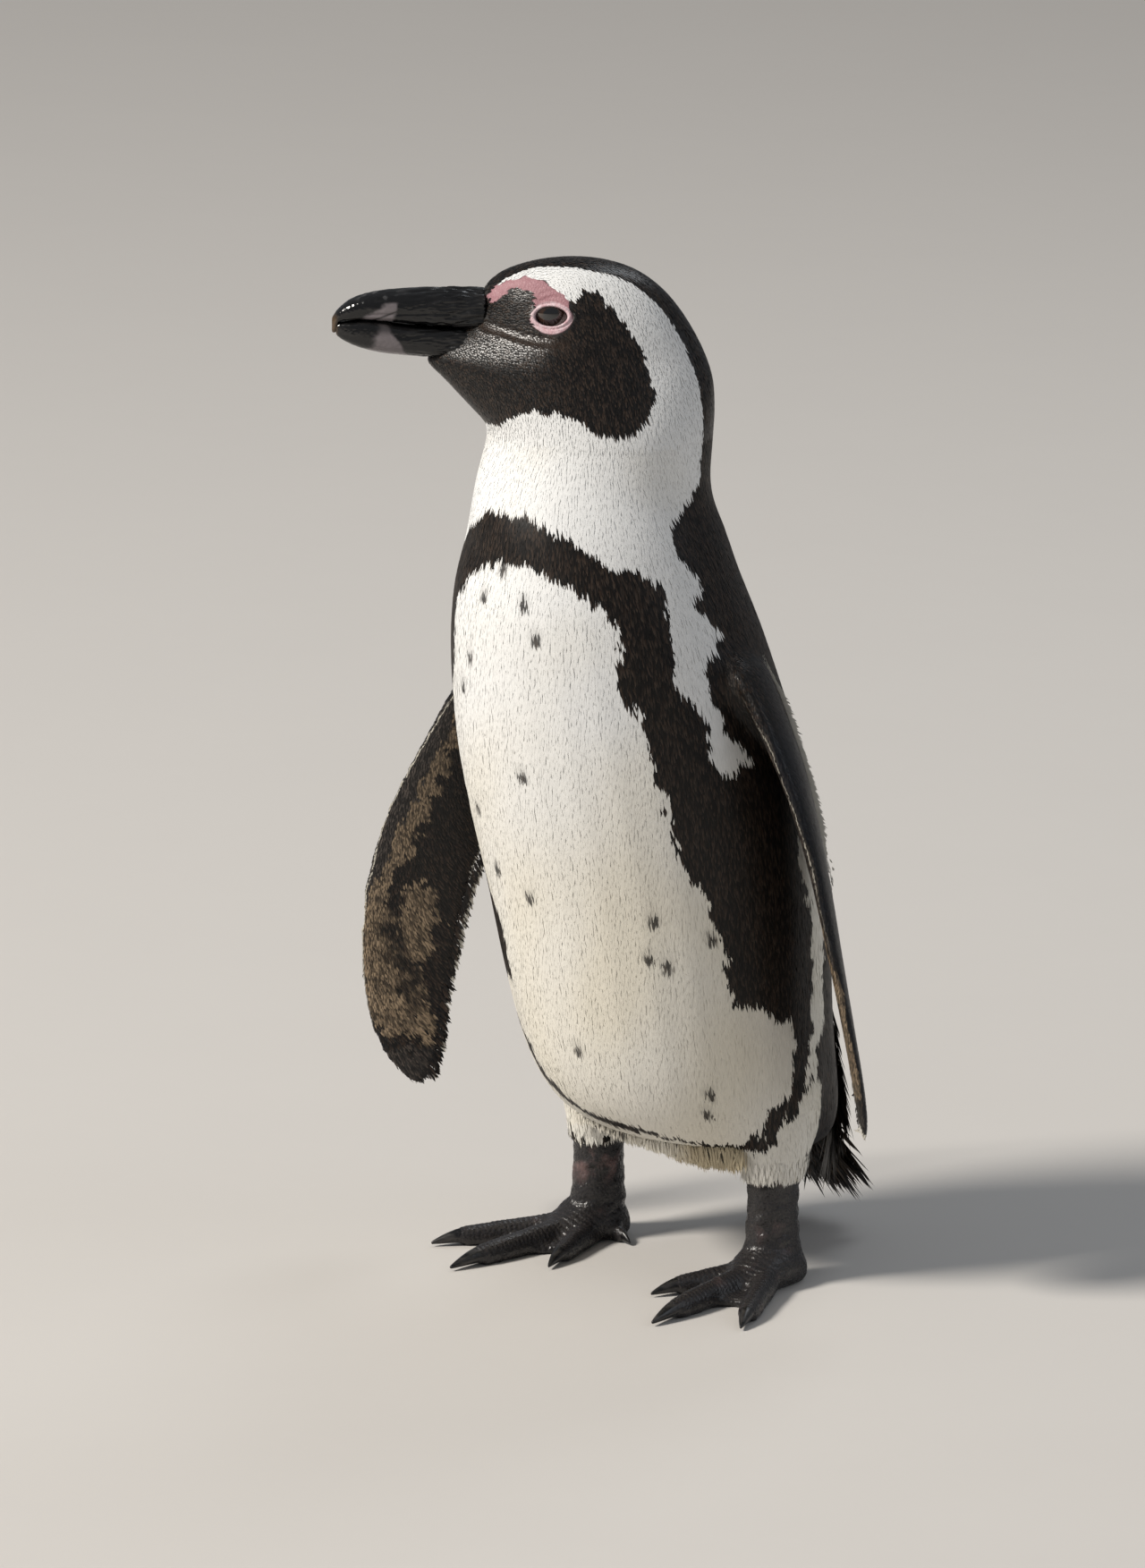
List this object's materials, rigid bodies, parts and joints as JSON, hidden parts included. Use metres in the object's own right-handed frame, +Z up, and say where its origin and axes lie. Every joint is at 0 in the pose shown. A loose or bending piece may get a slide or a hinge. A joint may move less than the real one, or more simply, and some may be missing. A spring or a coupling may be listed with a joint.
{
  "type": "african penguin model",
  "caption": "Still life-size model of a standing african penguin, head turned to its right, flippers hanging clear of the body, resting on flat webbed feet",
  "frame": {"origin": "on the floor, under the centre of the whole bird's bounding box", "axes": "the body faces -Y, +X is the bird's own left, +Z is up; the head is turned about 43 degrees to the bird's right"},
  "size_m": [0.2486, 0.2276, 0.446],
  "materials": {
    "white_feathers": "soft overlapping white body feathers, faintly warm on the belly",
    "black_feathers": "soft brown-black feathers with a slight silky sheen",
    "leg_skin": "wrinkled, scaled black skin with dull pinkish blotches",
    "bill_horn": "glossy ridged black horn with a grey-white band near the tip",
    "claw_horn": "smooth black horn",
    "eye": "wet dark brown eye"
  },
  "bodies": {
    "root": {"head": "black_feathers", "neck": "white_feathers", "trunk": "white_feathers", "tail": "black_feathers", "flipper_left": "black_feathers", "flipper_right": "black_feathers", "thigh_left": "white_feathers", "thigh_right": "white_feathers", "shank_left": "leg_skin", "shank_right": "leg_skin", "foot_left": "leg_skin", "foot_right": "leg_skin", "bill_upper": "bill_horn", "bill_lower": "bill_horn", "eye_left": "eye", "eye_right": "eye", "claw_inner_left": "claw_horn", "claw_middle_left": "claw_horn", "claw_outer_left": "claw_horn", "claw_hind_left": "claw_horn", "claw_inner_right": "claw_horn", "claw_middle_right": "claw_horn", "claw_outer_right": "claw_horn", "claw_hind_right": "claw_horn"}
  },
  "joints": []
}
